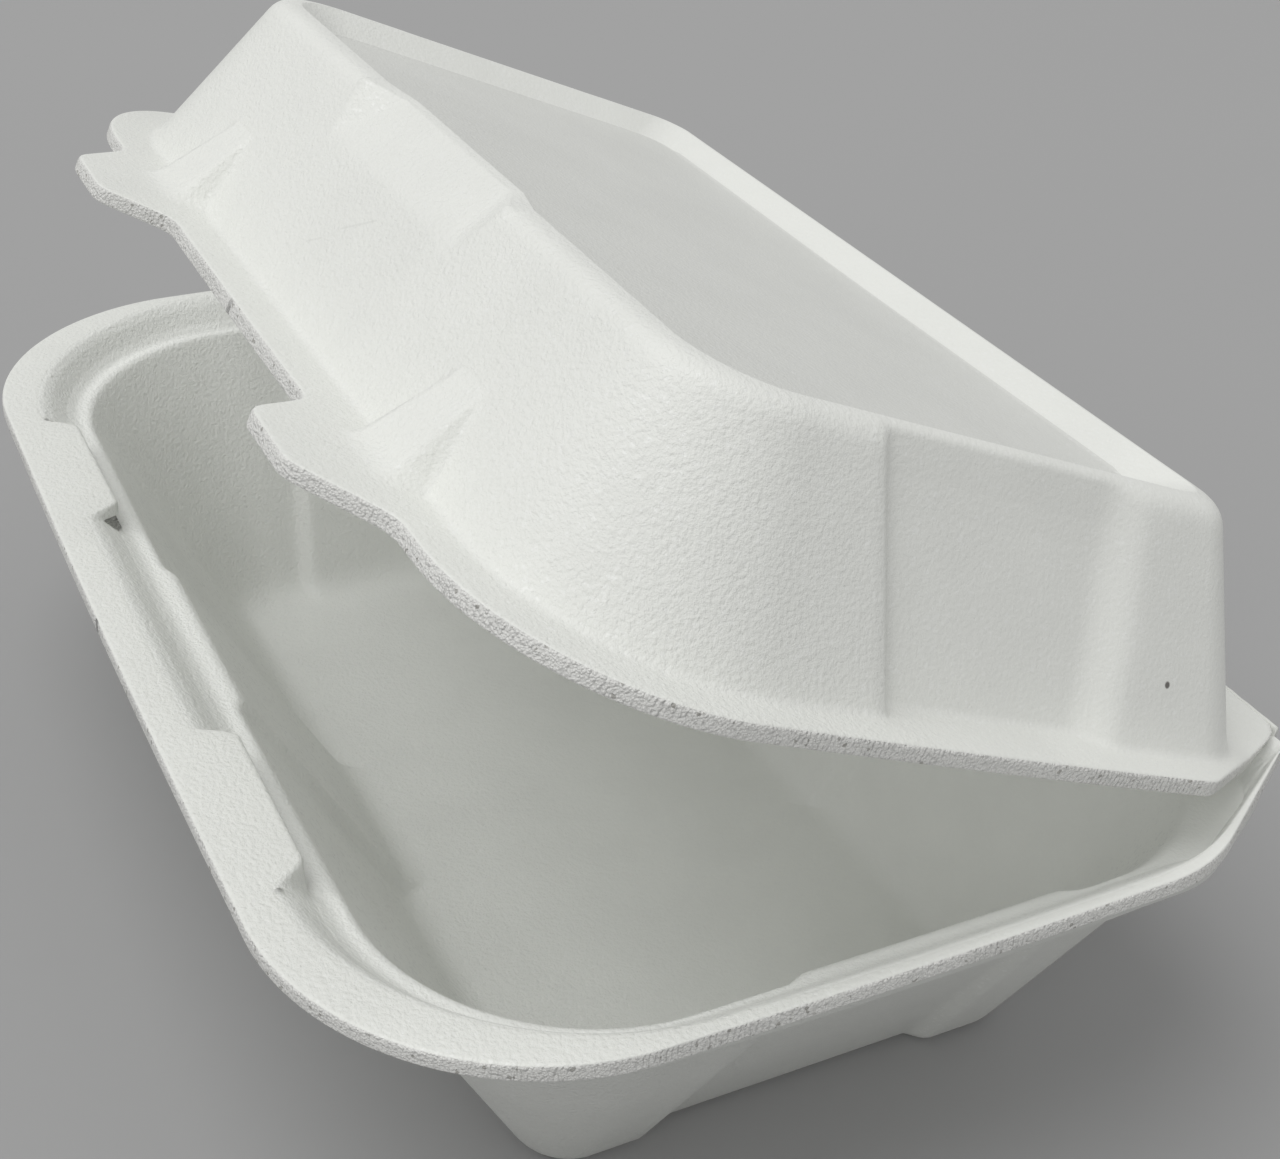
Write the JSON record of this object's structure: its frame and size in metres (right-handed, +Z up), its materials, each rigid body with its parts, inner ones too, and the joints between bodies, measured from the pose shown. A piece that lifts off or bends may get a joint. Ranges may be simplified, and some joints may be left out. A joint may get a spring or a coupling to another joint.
{
  "type": "foam clamshell container",
  "caption": "White foam takeaway box in one folded sheet: a flared tub with a stepped rim and tab slots, and a raised lid with a sunk top panel, ridge and two front tabs.",
  "frame": {"origin": "centre of the tub's floor, on the table it stands on", "axes": "+Z up; -Y towards the front, where the lid's two tabs are; +Y towards the fold; +X to the right seen from the front"},
  "size_m": [0.203, 0.1374, 0.1137],
  "materials": {
    "foam_base": "satin",
    "foam_lid": "satin"
  },
  "bodies": {
    "base": {"base": "foam_base"},
    "lid": {"lid": "foam_lid"}
  },
  "joints": [
    {"name": "lid_fold", "type": "hinge", "parent": "base", "child": "lid", "pos_m": [0, 0.0666, 0.04935], "axis": [-1, 0, 0], "range_deg": [-22.4, 157.6]}
  ]
}
